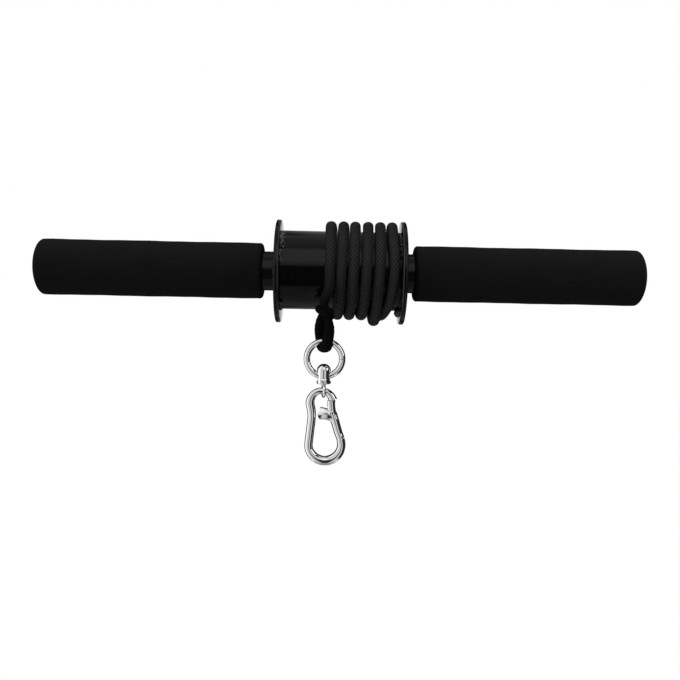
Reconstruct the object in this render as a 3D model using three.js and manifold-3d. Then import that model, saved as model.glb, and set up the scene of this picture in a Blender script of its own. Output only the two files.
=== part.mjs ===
// Wrist roller: a steel bar with two foam grips, a welded spool, and a braided cord with a snap hook on its end.
// Millimetres, +Z up. X runs along the bar, and the origin is the middle of the spool on the bar's axis.
import * as THREE from 'three';
import { mergeVertices, toCreasedNormals } from 'three/addons/utils/BufferGeometryUtils.js';
import Module from 'manifold-3d';

const wasm = await Module();
wasm.setup();

// Gaps and cuts
const seatGap = 0.3;
const pinGap = 0.15;
const overrun = 2;
const mergeDistance = 0.0001;
const creaseAngle = 0.5;

// Bar: its bare length is what shows between each flange and its grip
const barDiameter = 25.4;
const barWall = 2;
const bareBarLength = 8.7;
const barSides = 32;

// Grips
const gripLength = 145.5;
const gripDiameter = 36;
const gripEndWall = 8;
const gripEndFlatRadius = 5;
const gripEndRound = 4.2;
const gripInnerRound = 2.2;
const gripSides = 36;
const gripRoundSteps = 7;
const gripInnerSteps = 3;

// Spool
const spoolWidth = 76.2;
const drumDiameter = 50.8;
const drumWall = 2;
const drumSides = 48;
const flangeDiameter = 66.5;
const flangeThickness = 3.2;
const flangeRimRound = 0.8;
const flangeSides = 48;
const rimRoundSteps = 2;

// Weld beads: each row is the middle and the length of one bead, in degrees round the bar from the top to the front
const beadRadius = 1.5;
const beadSides = 6;
const beadStepDegrees = 10;
const leastBeadSteps = 3;
const drumBeadsLeft = [[43, 46], [146, 16], [262, 44]];
const drumBeadsRight = [[48, 44], [160, 26], [268, 44]];
const barBeads = [[100, 70], [220, 70], [340, 70]];

// Cord
const cordDiameter = 6;
const windingPitch = 7.87;
const windingInset = 4.45;
const windingTurns = 5;
const turnSteps = 24;
const windingSides = 6;
const windingWander = 0.22;
const windingWanderRate = 0.37;
const crossoverShift = 3.3;
const crossoverLift = 4.9;
const crossoverFrontShift = 3.1;
const freeEndShift = 1.3;
const anchorRadius = 16.8;
const anchorTurn = 0.21;
const knotLength = 12;
const knotDiameter = 8.4;
const knotBendRadius = 12;
const knotDipShare = 0.2;
const knotSteps = 8;
const leastWindingGap = 0.4;

// Cord's hanging end: the route of the short tail, its X counted from the first turn, and the knot that closes the eye
const tailRoute = [[-0.9, -6.3], [-1, -9], [-2.6, -13], [-4, -17], [-4.1, -19.4]];
const tailSides = 8;
const eyeKnotHeight = 9.4;
const eyeKnotDiameter = 13.6;
const eyeKnotWaist = 11.6;
const eyeDrop = 13.1;
const eyeNeckHalfWidth = 3.2;
const eyeTwistDegrees = 18;
const eyeBightThickness = 4.4;
const eyeBightWidth = 8;
const eyeSideRoom = 1.2;
const eyePlay = 0.15;
const eyeSteps = 18;
const knotSides = 24;

// Ring
const ringShift = 0.9;
const ringMeanRadius = 10.95;
const ringWire = 4;
const ringSteps = 40;
const ringSides = 10;

// Swivel
const swivelShift = -0.3;
const swivelDomeRadius = 4.4;
const swivelDomeRise = 3.6;
const swivelWaistRadius = 4.3;
const swivelFootRadius = 4.6;
const swivelFootChamfer = 0.8;
const swivelWall = 1.2;
const swivelHoleFlare = 1.6;
const swivelSides = 24;
const swivelRoundSteps = 6;
const stemDiameter = 2.6;
const stemHeadDiameter = 4.2;
const stemHeadHeight = 0.8;
const linkWire = 2;
const linkArch = 1.8;
const linkCorner = 1.9;
const linkRestDegrees = 9;
const linkPlay = 0.2;
const linkSides = 10;
const linkSteps = 10;
const linkCornerSteps = 3;

// Snap hook, drawn upright round the middle of its head: u to the right, w up
const hookShift = -1;
const hookTiltDegrees = 5.3;
const headOuterRadius = 10.1;
const headTopWire = 4;
const headSideWire = 5.6;
const bowWire = 5.3;
const bowBottomWire = 6.2;
const bowDrop = 26;
const bowOuterRadius = 13.05;
const neckHalfWidth = 8.8;
const neckDrop = 4.4;
const hookDepth = 5.2;
const bowDepth = 5.8;
const headEndDegrees = 12;
const headFarDegrees = 190;
const headSteps = 16;
const bowSteps = 18;
const tipDegrees = 14;
const noseDegrees = 24;
const hookSides = 12;

// Gate, its rivet, and the spring and pusher inside it
const pivotU = 5.2;
const pivotW = -5.6;
const lugRadius = 7.2;
const webEndRadius = 8.2;
const webDrop = 6;
const webHeight = 7.8;
const gateRootWire = 5.7;
const gateTipWire = 5;
const rivetDiameter = 2.4;
const rivetHeadDiameter = 4.2;
const rivetHeadHeight = 0.7;
const tongueThickness = 1.9;
const tongueWidth = 3.6;
const tongueHeel = 2.2;
const boreDiameter = 2.3;
const boreStartU = 5;
const boreStartW = -8;
const boreLength = 7.8;
const boreSlantDegrees = 21;
const pusherDiameter = 1.7;
const pusherLength = 3.4;
const pusherGap = 0.42;
const springDiameter = 1.9;
const springWire = 0.35;
const springCurls = 6;
const springCurlSteps = 8;
const springSides = 5;
const pusherNoseSteps = 3;

// Worked out from the sizes above
const overallLength = spoolWidth + 2 * (flangeThickness + bareBarLength + gripLength);
const barRadius = barDiameter / 2;
const gripRadius = gripDiameter / 2;
const drumRadius = drumDiameter / 2;
const flangeRadius = flangeDiameter / 2;
const cordRadius = cordDiameter / 2;
const windingRadius = (drumRadius + seatGap + cordRadius) / Math.cos(Math.PI / turnSteps);
const cordY = -windingRadius;
const windingFirstX = spoolWidth / 2 - windingInset - windingTurns * windingPitch;
const [tailEndShift, tailEndZ] = tailRoute[tailRoute.length - 1];
const eyeKnotX = windingFirstX + tailEndShift;
const eyeKnotTop = tailEndZ - seatGap;
const ringX = eyeKnotX + ringShift;
const ringTopZ = eyeKnotTop - eyeKnotHeight - eyeDrop;
const swivelX = ringX + swivelShift;
const hookX = swivelX + hookShift;
const ringRadius = ringWire / 2;
const ringCentreZ = ringTopZ - ringMeanRadius;
const ringBottomZ = ringCentreZ - ringMeanRadius;
const stemHeadTop = ringBottomZ - ringRadius - seatGap;
const swivelSeatZ = stemHeadTop - stemHeadHeight - seatGap;
const swivelBottomZ = swivelSeatZ - swivelWall;
const linkArchZ = swivelBottomZ - seatGap - linkArch / 2;
const hookTopZ = linkArchZ - linkArch / 2 - seatGap;
const hookPinZ = hookTopZ - headTopWire / 2;
const headCentreZ = hookTopZ - headOuterRadius;
const bowMeanRadius = bowOuterRadius - bowWire / 2;
const gateRootU = neckHalfWidth - gateRootWire / 2;
const turn = 2 * Math.PI;
const radians = THREE.MathUtils.degToRad;
const between = THREE.MathUtils.lerp;

const X = new THREE.Vector3(1, 0, 0);
const Y = new THREE.Vector3(0, 1, 0);
const Z = new THREE.Vector3(0, 0, 1);

// Materials, one for each mesh
const finishes = {
  enamel: { color: 0x0b0b0c, roughness: 0.22, metalness: 0 },
  foam: { color: 0x141415, roughness: 0.9, metalness: 0 },
  cord: { color: 0x111112, roughness: 0.75, metalness: 0 },
  chrome: { color: 0xd9dbdd, roughness: 0.08, metalness: 1 },
  zinc: { color: 0xa9acae, roughness: 0.3, metalness: 1 },
};

// A geometry as a solid with its faces outward.
function solid(geometry) {
  const bare = geometry.clone();
  bare.deleteAttribute('normal');
  bare.deleteAttribute('uv');
  const merged = mergeVertices(bare, mergeDistance);
  const faces = [];
  for (let i = 0; i < merged.index.count; i += 3) {
    const [a, b, c] = [0, 1, 2].map((k) => merged.index.getX(i + k));
    if (a !== b && b !== c && c !== a) faces.push(a, b, c);
  }
  const build = (triVerts) => new wasm.Manifold(new wasm.Mesh({
    numProp: 3,
    vertProperties: merged.attributes.position.array,
    triVerts: new Uint32Array(triVerts),
  }));
  const made = build(faces);
  return made.volume() < 0 ? build(faces.reverse()) : made;
}

// A mesh of a solid, with its name and finish.
function piece(name, made, finish) {
  const mesh = made.getMesh();
  const geometry = new THREE.BufferGeometry();
  geometry.setAttribute('position', new THREE.BufferAttribute(mesh.vertProperties, 3));
  geometry.setIndex(new THREE.BufferAttribute(mesh.triVerts, 1));
  const result = new THREE.Mesh(toCreasedNormals(geometry, creaseAngle), new THREE.MeshStandardMaterial(finish));
  result.name = name;
  return result;
}

// Rings of points, all with the same count, joined into one closed skin; a looped skin has no end caps.
function loft(rings, looped = false) {
  const count = rings[0].length;
  const bands = looped ? rings.length : rings.length - 1;
  const faces = [];
  for (let i = 0; i < bands; i++) {
    const next = (i + 1) % rings.length;
    for (let j = 0; j < count; j++) {
      const k = (j + 1) % count;
      faces.push(i * count + j, i * count + k, next * count + j);
      faces.push(i * count + k, next * count + k, next * count + j);
    }
  }
  const last = (rings.length - 1) * count;
  for (let j = 1; j + 1 < count && !looped; j++) {
    faces.push(0, j + 1, j);
    faces.push(last, last + j, last + j + 1);
  }
  const geometry = new THREE.BufferGeometry().setFromPoints(rings.flat());
  geometry.setIndex(faces);
  return geometry;
}

// A bar along the points. halfSizes(share of the way) gives its half width in the bend's plane and its half depth.
function sweep(points, halfSizes, reference, sides, looped = false) {
  const last = points.length - 1;
  const rings = points.map((point, i) => {
    const before = points[looped ? (i + last) % points.length : Math.max(i - 1, 0)];
    const after = points[looped ? (i + 1) % points.length : Math.min(i + 1, last)];
    const along = new THREE.Vector3().subVectors(after, before).normalize();
    const across = new THREE.Vector3().crossVectors(along, reference).normalize();
    const deep = new THREE.Vector3().crossVectors(across, along);
    const [width, depth] = halfSizes(i / last);
    return Array.from({ length: sides }, (_, j) => {
      const angle = turn * (j + 0.5) / sides;
      return point.clone()
        .addScaledVector(across, width * Math.cos(angle))
        .addScaledVector(deep, depth * Math.sin(angle));
    });
  });
  return solid(loft(rings, looped));
}

function wire(points, radius, reference, sides, looped = false) {
  return sweep(points, () => [radius, radius], reference, sides, looped);
}

// An outline of [distance along X, radius] pairs, turned round the X axis. It closes on itself.
function turnedOnX(outline, sides) {
  const profile = [...outline, outline[0]].map(([along, radius]) => new THREE.Vector2(radius, along));
  return solid(new THREE.LatheGeometry(profile, sides).rotateZ(-turn / 4));
}

// An outline of [radius, height] pairs from axis to axis, turned round the Z axis.
function turnedOnZ(outline, sides) {
  const profile = outline.map(([radius, height]) => new THREE.Vector2(radius, height));
  return solid(new THREE.LatheGeometry(profile, sides).rotateX(turn / 4));
}

// A round pin with its axis along Y, centred on a point of the XZ plane.
function pinAlongY(radius, length, x, z, sides) {
  return solid(new THREE.CylinderGeometry(radius, radius, length, sides).translate(x, 0, z));
}

// Points of an arc in an outline, from one angle to the other.
function arc(centreA, centreB, halfA, halfB, from, to, steps) {
  return Array.from({ length: steps + 1 }, (_, i) => {
    const angle = from + (to - from) * i / steps;
    return [centreA + halfA * Math.cos(angle), centreB + halfB * Math.sin(angle)];
  });
}

// One where the value is at the middle, falling smoothly to nothing at the half width.
function bump(value, middle, halfWidth) {
  const share = Math.min(Math.abs(value - middle) / halfWidth, 1);
  return Math.cos(share * turn / 4) ** 2;
}

// Bar
function barTube() {
  const half = overallLength / 2 - gripEndWall - seatGap;
  return turnedOnX([
    [-half, barRadius - barWall],
    [-half, barRadius],
    [half, barRadius],
    [half, barRadius - barWall],
  ], barSides);
}

// Grip: a closed-end foam sleeve, drawn for the right hand with its crowned end outward.
function grip() {
  const end = overallLength / 2;
  const inner = end - gripLength;
  const bore = barRadius + seatGap;
  return turnedOnX([
    [inner, bore],
    ...arc(inner + gripInnerRound, gripRadius - gripInnerRound, gripInnerRound, gripInnerRound,
      turn / 2, turn / 4, gripInnerSteps),
    ...arc(end - gripEndRound, gripEndFlatRadius, gripEndRound, gripRadius - gripEndFlatRadius,
      turn / 4, 0, gripRoundSteps),
    [end, 0],
    [end - gripEndWall, 0],
    [end - gripEndWall, bore],
  ], gripSides);
}

// A weld bead round the X axis, thinning towards both ends.
function bead(x, radius, [middle, length]) {
  const steps = Math.max(leastBeadSteps, Math.round(length / beadStepDegrees));
  const points = Array.from({ length: steps + 1 }, (_, i) => {
    const angle = radians(middle + length * (i / steps - 1 / 2));
    return new THREE.Vector3(x, -radius * Math.sin(angle), radius * Math.cos(angle));
  });
  const size = (share) => beadRadius * (1 / 2 + bump(share, 1 / 2, 1 / 2) / 2);
  return sweep(points, (share) => [size(share), size(share)], X, beadSides);
}

// Flange: a plate with an eased rim, drawn for the right end, with the beads that join it to the drum and the bar.
function flange(drumBeads) {
  const inner = spoolWidth / 2;
  const outer = inner + flangeThickness;
  const bore = barRadius + seatGap;
  const rim = flangeRadius - flangeRimRound;
  const plate = turnedOnX([
    [inner, bore],
    ...arc(inner + flangeRimRound, rim, flangeRimRound, flangeRimRound, turn / 2, turn / 4, rimRoundSteps),
    ...arc(outer - flangeRimRound, rim, flangeRimRound, flangeRimRound, turn / 4, 0, rimRoundSteps),
    [outer, bore],
  ], flangeSides);
  const drumClear = turnedOnX([
    [0, 0],
    [0, drumRadius + seatGap],
    [inner, drumRadius + seatGap],
    [inner, 0],
  ], flangeSides);
  const barClear = turnedOnX([
    [0, 0],
    [0, bore],
    [outer + overrun, bore],
    [outer + overrun, 0],
  ], barSides);
  let made = plate;
  for (const place of drumBeads) {
    made = made.add(bead(inner - seatGap, drumRadius + beadRadius / 2, place).subtract(drumClear));
  }
  for (const place of barBeads) {
    made = made.add(bead(outer + seatGap, barRadius + beadRadius / 2, place).subtract(barClear));
  }
  return made;
}

// Winding: turns are counted from the first one's top, down the back and up the front.
// The last turn slips under the one beside it at the bottom, which rides over it.
function windingX(turns) {
  const last = windingTurns;
  return windingFirstX + windingPitch * Math.min(turns, last)
    + windingWander * Math.sin(turns * turn * windingWanderRate)
    + freeEndShift * bump(turns, -1 / 4, 1 / 4)
    - crossoverShift * bump(turns, last - 1 / 2, 1 / 6)
    + crossoverFrontShift * bump(turns, last - 1 / 4, 1 / 6);
}

function windingPoint(turns) {
  const dive = Math.min(Math.max((turns - windingTurns) / anchorTurn, 0), 1);
  const radius = windingRadius
    + crossoverLift * bump(turns, windingTurns - 3 / 2, 1 / 4)
    - (windingRadius - anchorRadius) * dive ** 2 * (3 - 2 * dive);
  const angle = turns * turn;
  return new THREE.Vector3(windingX(turns), radius * Math.sin(angle), radius * Math.cos(angle));
}

// The winding's middle line: straight at both ends for one cord diameter, down the front and inside the drum.
function windingLine() {
  const first = -1 / 4;
  const last = windingTurns + anchorTurn;
  const steps = Math.round((last - first) * turnSteps);
  const points = Array.from({ length: steps + 1 }, (_, i) => windingPoint(first + (last - first) * i / steps));
  const [tailShift, tailZ] = tailRoute[0];
  const freeEnd = new THREE.Vector3(windingFirstX + tailShift, cordY, tailZ + seatGap);
  const inward = new THREE.Vector3().subVectors(points[steps], points[steps - 1]).setLength(cordDiameter);
  return [freeEnd, ...points, points[steps].clone().add(inward)];
}

// Least gap from the winding to itself, measured between points at least half a turn apart along it.
function leastGap(points) {
  let least = Infinity;
  for (let i = 0; i < points.length; i++) {
    for (let j = i + turnSteps / 2; j < points.length; j++) {
      least = Math.min(least, points[i].distanceTo(points[j]) - cordDiameter);
    }
  }
  return least;
}

function drumTube() {
  const half = spoolWidth / 2 - seatGap;
  const tube = turnedOnX([
    [-half, drumRadius - drumWall],
    [-half, drumRadius],
    [half, drumRadius],
    [half, drumRadius - drumWall],
  ], drumSides);
  const line = windingLine();
  const throughWall = line.slice(-Math.round(anchorTurn * turnSteps) - 2);
  return tube.subtract(wire(throughWall, cordRadius + seatGap, X, windingSides * 2));
}

// The knot inside the drum, on the cord's end, bent to follow the space between the drum and the bar.
function anchorKnot(line) {
  const end = line[line.length - 1];
  const along = new THREE.Vector3().subVectors(end, line[line.length - 2]).normalize();
  const step = knotLength / knotSteps;
  const points = [end.clone().addScaledVector(along, seatGap)];
  while (points.length <= knotSteps) {
    points.push(points[points.length - 1].clone().addScaledVector(along, step));
    along.applyAxisAngle(X, -step / knotBendRadius);
  }
  const radius = (share) => knotDiameter / 2 * (1 - knotDipShare * Math.cos(share * turn) ** 2);
  return sweep(points, (share) => [radius(share), radius(share)], X, windingSides * 2);
}

// Tail: the short free stretch between the winding and the eye's knot.
function tail() {
  const route = tailRoute.map(([shift, z]) => new THREE.Vector3(windingFirstX + shift, cordY, z));
  const section = new THREE.Shape(
    arc(0, 0, cordRadius, cordRadius, 0, turn * (1 - 1 / tailSides), tailSides - 1)
      .map(([x, y]) => new THREE.Vector2(x, y)),
  );
  return solid(new THREE.ExtrudeGeometry(section, {
    extrudePath: new THREE.CatmullRomCurve3(route),
    steps: 2 * tailRoute.length,
    curveSegments: 1,
  }));
}

// Eye: the knot, and the bight that goes round the ring's top and is pressed flat there.
function cordEye() {
  const bottom = eyeKnotTop - eyeKnotHeight;
  const third = eyeKnotHeight / 3;
  const outer = eyeKnotDiameter / 2;
  const knot = turnedOnZ([
    [0, eyeKnotTop],
    [cordRadius, eyeKnotTop],
    [(outer + cordRadius) / 2, eyeKnotTop - third / 6],
    [outer, eyeKnotTop - third],
    [eyeKnotWaist / 2, eyeKnotTop - third * 3 / 2],
    [outer, eyeKnotTop - third * 2],
    [(outer + cordRadius) / 2, bottom + third / 6],
    [cordRadius, bottom],
    [0, bottom],
  ], knotSides).translate([eyeKnotX, cordY, 0]);
  const round = ringRadius + seatGap + eyePlay + eyeBightThickness / 2;
  const beside = round + eyeSideRoom;
  const middle = (eyeKnotX + ringX) / 2;
  const twist = radians(eyeTwistDegrees);
  const strand = (side) => [0, 1 / 3, 2 / 3].map((share) => {
    const width = eyeNeckHalfWidth + (beside - eyeNeckHalfWidth) * Math.sin(share * turn / 4);
    return [side * width, between(bottom + third, ringTopZ, share)];
  });
  const outline = [
    ...strand(-1),
    ...arc(0, ringTopZ, beside, round, turn / 2, turn, eyeSteps / 2),
    ...strand(1).reverse(),
  ];
  const outward = Y.clone().applyAxisAngle(Z, twist);
  const points = outline.map(([across, z]) => new THREE.Vector3(middle, cordY, z).addScaledVector(outward, across));
  const halfSizes = (share) => {
    const pressed = bump(share, 1 / 2, 1 / 2);
    return [
      between(cordRadius, eyeBightThickness / 2, pressed),
      between(cordRadius, eyeBightWidth / 2, pressed),
    ];
  };
  return knot.add(sweep(points, halfSizes, X.clone().applyAxisAngle(Z, twist), tailSides + 2));
}

// Ring: one bent wire whose ends butt at the side.
function ring() {
  const gap = seatGap / ringMeanRadius / 2;
  const points = arc(ringX, ringCentreZ, ringMeanRadius, ringMeanRadius, gap, turn - gap, ringSteps)
    .map(([x, z]) => new THREE.Vector3(x, cordY, z));
  return wire(points, ringRadius, Y, ringSides);
}

// Swivel body: a bead with a flared hole for the ring and a seat below it for the stem's head.
function swivelBody() {
  const domeZ = ringBottomZ + swivelDomeRise;
  const outside = turnedOnZ([
    ...arc(0, domeZ, swivelDomeRadius, swivelDomeRadius, turn / 4, 0, swivelRoundSteps),
    [swivelWaistRadius, ringBottomZ],
    [swivelFootRadius, (ringBottomZ + swivelSeatZ) / 2],
    [swivelFootRadius, swivelBottomZ + swivelFootChamfer],
    [swivelFootRadius - swivelFootChamfer, swivelBottomZ],
    [0, swivelBottomZ],
  ], swivelSides);
  const holeHalf = swivelFootRadius + overrun;
  const holeRadius = (along) => ringRadius + seatGap + swivelHoleFlare * (along / swivelFootRadius) ** 2;
  const steps = swivelRoundSteps;
  const hole = turnedOnX([
    [-holeHalf, 0],
    ...Array.from({ length: steps + 1 }, (_, i) => {
      const along = holeHalf * (2 * i / steps - 1);
      return [along, holeRadius(along)];
    }),
    [holeHalf, 0],
  ], swivelSides).translate([0, 0, ringBottomZ]);
  const pocket = stemHeadDiameter / 2 + seatGap;
  const way = stemDiameter / 2 + seatGap;
  const seat = turnedOnZ([
    [0, ringBottomZ],
    [pocket, ringBottomZ],
    [pocket, swivelSeatZ],
    [way, swivelSeatZ],
    [way, swivelBottomZ - overrun],
    [0, swivelBottomZ - overrun],
  ], swivelSides);
  return outside.subtract(hole).subtract(seat).translate([swivelX, cordY, 0]);
}

// Swivel link: a headed stem on a loop that stands across the hook's head.
function swivelLink() {
  const rest = radians(linkRestDegrees);
  const half = (headTopWire / 2 + seatGap + linkPlay + Math.sin(rest) * linkWire / 2) / Math.cos(rest) + linkArch / 2;
  const top = linkArchZ;
  const outline = [
    ...arc(0, hookPinZ, half, half, turn / 2, turn, linkSteps),
    ...arc(half - linkCorner, top - linkCorner, linkCorner, linkCorner, 0, turn / 4, linkCornerSteps),
    ...arc(linkCorner - half, top - linkCorner, linkCorner, linkCorner, turn / 4, turn / 2, linkCornerSteps),
  ];
  const points = outline.map(([y, z]) => new THREE.Vector3(0, y, z));
  const loop = sweep(points, () => [linkArch / 2, linkWire / 2], X, linkSides, true);
  const stem = turnedOnZ([
    [0, stemHeadTop],
    [stemHeadDiameter / 2, stemHeadTop],
    [stemHeadDiameter / 2, stemHeadTop - stemHeadHeight],
    [stemDiameter / 2, stemHeadTop - stemHeadHeight],
    [stemDiameter / 2, linkArchZ],
    [0, linkArchZ],
  ], swivelSides);
  return loop.add(stem).rotate([0, 0, linkRestDegrees]).translate([swivelX, cordY, 0]);
}

// Snap hook's middle line and section, from the head's open end over the top, down the back and round the bow.
function hookLine() {
  const headAcross = headOuterRadius - headSideWire / 2;
  const headUp = headOuterRadius - headTopWire / 2;
  const bow = bowMeanRadius;
  const neck = neckHalfWidth - headSideWire / 2;
  const shank = (share) => [-between(neck, bow, share), -between(neckDrop, bowDrop, share)];
  return [
    ...arc(0, 0, headAcross, headUp, radians(headEndDegrees), radians(headFarDegrees), headSteps),
    shank(0),
    shank(1 / 3),
    shank(3 / 4),
    ...arc(0, -bowDrop, bow, bow, turn / 2, turn + radians(tipDegrees + noseDegrees), bowSteps),
  ].map(([u, w]) => new THREE.Vector3(u, 0, w));
}

function hookHalfSizes(point) {
  const top = bump(point.z, headOuterRadius, headOuterRadius);
  const bottom = bump(point.z, -bowDrop - bowOuterRadius, bowOuterRadius);
  const side = point.z > -neckDrop ? headSideWire : bowWire;
  const width = side + (headTopWire - side) * top + (bowBottomWire - bowWire) * bottom;
  const depth = hookDepth + (headTopWire - hookDepth) * top + (bowDepth - hookDepth) * bottom;
  return [width / 2, depth / 2];
}

// The plate on the hook's end that the gate's ears straddle, square at its heel where the pusher bears.
function tongue(rootU, rootW) {
  const slant = radians(boreSlantDegrees);
  const down = [Math.sin(slant), -Math.cos(slant)];
  const across = [Math.cos(slant), Math.sin(slant)];
  const heel = (side) => new THREE.Vector2(
    pivotU + tongueHeel * down[0] + side * tongueWidth / 2 * across[0],
    pivotW + tongueHeel * down[1] + side * tongueWidth / 2 * across[1],
  );
  const shape = new THREE.Shape([
    heel(-1),
    heel(1),
    new THREE.Vector2(rootU + tongueWidth / 2, rootW + overrun),
    new THREE.Vector2(rootU - tongueWidth / 2, rootW + overrun),
  ]);
  const plate = new THREE.ExtrudeGeometry(shape, { depth: tongueThickness, bevelEnabled: false });
  return solid(plate.translate(0, 0, -tongueThickness / 2).rotateX(turn / 4));
}

function hookBody() {
  const line = hookLine();
  const bent = sweep(line, (share) => hookHalfSizes(line[Math.round(share * (line.length - 1))]), Y, hookSides);
  const lugClear = pinAlongY(lugRadius + seatGap, bowDepth + overrun, pivotU, pivotW, drumSides);
  const hole = pinAlongY(rivetDiameter / 2 + pinGap, tongueThickness + overrun, pivotU, pivotW, hookSides * 2);
  return bent.subtract(lugClear).subtract(noseBlock(1, 0)).add(tongue(line[0].x, line[0].z)).subtract(hole);
}

// Gate: the arm that closes the bow, with the web that closes the eye and two ears round the hook's tongue.
function gateArm() {
  const tip = hookTip();
  const top = new THREE.Vector3(gateRootU, 0, headTopWire);
  const points = [top, armPoint(0), armPoint(1 / 3), armPoint(2 / 3), tip, tip.clone().setZ(tip.z - bowWire)];
  const width = (share) => between(gateRootWire, gateTipWire, share) / 2;
  const arm = sweep(points, (share) => [width(share), hookDepth / 2], Y, hookSides);
  return arm.subtract(noseBlock(-1, seatGap));
}

// Where the gate's end meets the hook's tip.
function hookTip() {
  const angle = radians(tipDegrees);
  return new THREE.Vector3(bowMeanRadius * Math.cos(angle), 0, -bowDrop + bowMeanRadius * Math.sin(angle));
}

// A block on one side of the slanted cut between the gate's end and the hook's tip: 1 above, -1 below.
function noseBlock(side, gap) {
  const tip = hookTip();
  const size = 2 * bowWire;
  return solid(new THREE.BoxGeometry(size, size, size)
    .translate(0, 0, side * size / 2 + gap)
    .rotateY(radians(-noseDegrees))
    .translate(tip.x, 0, tip.z));
}

// Points of the arm's middle line, at a share of the way from the neck to the bow.
function armPoint(share) {
  return new THREE.Vector3(between(gateRootU, bowMeanRadius, share), 0, -between(neckDrop, bowDrop, share));
}

// The web that closes the eye: it turns down into the arm, and its free end is round about the rivet.
function gateWeb() {
  const start = new THREE.Vector3(pivotU - webEndRadius - overrun, 0, -webDrop);
  const corner = new THREE.Vector3(pivotU, 0, -webDrop);
  const points = new THREE.QuadraticBezierCurve3(start, corner, armPoint(1 / 3)).getPoints(headSteps / 2);
  const width = (share) => between(webHeight, gateRootWire, share) / 2;
  const bar = sweep(points, (share) => [width(share), hookDepth / 2], Y, hookSides);
  return bar.intersect(pinAlongY(webEndRadius, hookDepth + overrun, pivotU, pivotW, drumSides));
}

// Something drawn along Z from its top, set in the gate's bore.
function inBore(made, depth) {
  return made.translate([0, 0, -depth]).rotate([0, -boreSlantDegrees, 0]).translate([boreStartU, 0, boreStartW]);
}

function hookGate() {
  const ears = pinAlongY(lugRadius, hookDepth + overrun, pivotU, pivotW, drumSides);
  const below = solid(new THREE.BoxGeometry(4 * bowOuterRadius, hookDepth + overrun, bowDrop)
    .translate(0, 0, pivotW - bowDrop / 2));
  const slotHalf = tongueThickness / 2 + seatGap;
  const heelRoom = Math.hypot(tongueHeel, tongueWidth / 2) + seatGap;
  const slot = solid(new THREE.BoxGeometry(2 * lugRadius, 2 * slotHalf, 2 * lugRadius)
    .translate(pivotU - heelRoom + lugRadius, 0, pivotW + lugRadius))
    .add(pinAlongY(heelRoom, 2 * slotHalf, pivotU, pivotW, drumSides));
  const hole = pinAlongY(rivetDiameter / 2 + pinGap, hookDepth + overrun, pivotU, pivotW, hookSides * 2);
  const bore = inBore(turnedOnZ([
    [0, overrun],
    [boreDiameter / 2, overrun],
    [boreDiameter / 2, -boreLength],
    [0, -boreLength],
  ], hookSides), 0);
  return gateArm().add(gateWeb()).intersect(ears.add(below)).subtract(slot).subtract(hole).subtract(bore);
}

function rivet() {
  const half = hookDepth / 2 + pinGap;
  return solid(new THREE.LatheGeometry([
    [0, -half - rivetHeadHeight],
    [rivetHeadDiameter / 4, -half - rivetHeadHeight],
    [rivetHeadDiameter / 2, -half - rivetHeadHeight / 3],
    [rivetHeadDiameter / 2, -half],
    [rivetDiameter / 2, -half],
    [rivetDiameter / 2, half],
    [rivetHeadDiameter / 2, half],
    [rivetHeadDiameter / 2, half + rivetHeadHeight / 3],
    [rivetHeadDiameter / 4, half + rivetHeadHeight],
    [0, half + rivetHeadHeight],
  ].map(([radius, y]) => new THREE.Vector2(radius, y)), hookSides * 2).translate(pivotU, 0, pivotW));
}

// Where the pusher's nose meets the tongue's heel, as a depth down the bore.
function heelDepth() {
  const slant = radians(boreSlantDegrees);
  const toPivot = (pivotU - boreStartU) * Math.sin(slant) - (pivotW - boreStartW) * Math.cos(slant);
  return toPivot + tongueHeel + pusherGap;
}

function pusher() {
  const radius = pusherDiameter / 2;
  return inBore(turnedOnZ([
    ...arc(0, -radius, radius, radius, turn / 4, 0, pusherNoseSteps),
    [radius, -pusherLength],
    [0, -pusherLength],
  ], hookSides), heelDepth());
}

// Spring: one open coil between the pusher and the bore's end.
function gateSpring() {
  const top = heelDepth() + pusherLength + seatGap;
  const steps = springCurls * springCurlSteps;
  const length = boreLength - top - seatGap - springWire;
  const radius = (springDiameter - springWire) / 2;
  const points = Array.from({ length: steps + 1 }, (_, i) => new THREE.Vector3(
    radius * Math.cos(turn * i / springCurlSteps),
    radius * Math.sin(turn * i / springCurlSteps),
    -top - springWire / 2 - length * i / steps,
  ));
  return inBore(wire(points, springWire / 2, Z, springSides), 0);
}

// Assembly
const roller = new THREE.Group();
const line = windingLine();
console.log('least gap of the winding to itself:', leastGap(line).toFixed(2), 'mm, over', leastWindingGap);

roller.add(piece('bar_tube', barTube(), finishes.enamel));
roller.add(piece('drum_tube', drumTube(), finishes.enamel));
roller.add(piece('flange_right', flange(drumBeadsRight), finishes.enamel));
roller.add(piece('flange_left', flange(drumBeadsLeft).mirror([1, 0, 0]), finishes.enamel));
roller.add(piece('grip_right', grip(), finishes.foam));
roller.add(piece('grip_left', grip().mirror([1, 0, 0]), finishes.foam));

roller.add(piece('rope_winding', wire(line, cordRadius, X, windingSides), finishes.cord));
roller.add(piece('rope_anchor_knot', anchorKnot(line), finishes.cord));
roller.add(piece('rope_tail', tail(), finishes.cord));
roller.add(piece('rope_eye', cordEye(), finishes.cord));

roller.add(piece('ring', ring(), finishes.chrome));
roller.add(piece('swivel_body', swivelBody(), finishes.chrome));
roller.add(piece('swivel_link', swivelLink(), finishes.chrome));

const hook = new THREE.Group();
hook.position.set(hookX, cordY, headCentreZ);
hook.rotation.y = radians(-hookTiltDegrees);
hook.add(piece('hook_body', hookBody(), finishes.chrome));
hook.add(piece('hook_gate', hookGate(), finishes.chrome));
hook.add(piece('gate_rivet', rivet(), finishes.zinc));
hook.add(piece('gate_pusher', pusher(), finishes.zinc));
hook.add(piece('gate_spring', gateSpring(), finishes.zinc));
roller.add(hook);

export default roller;
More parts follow.
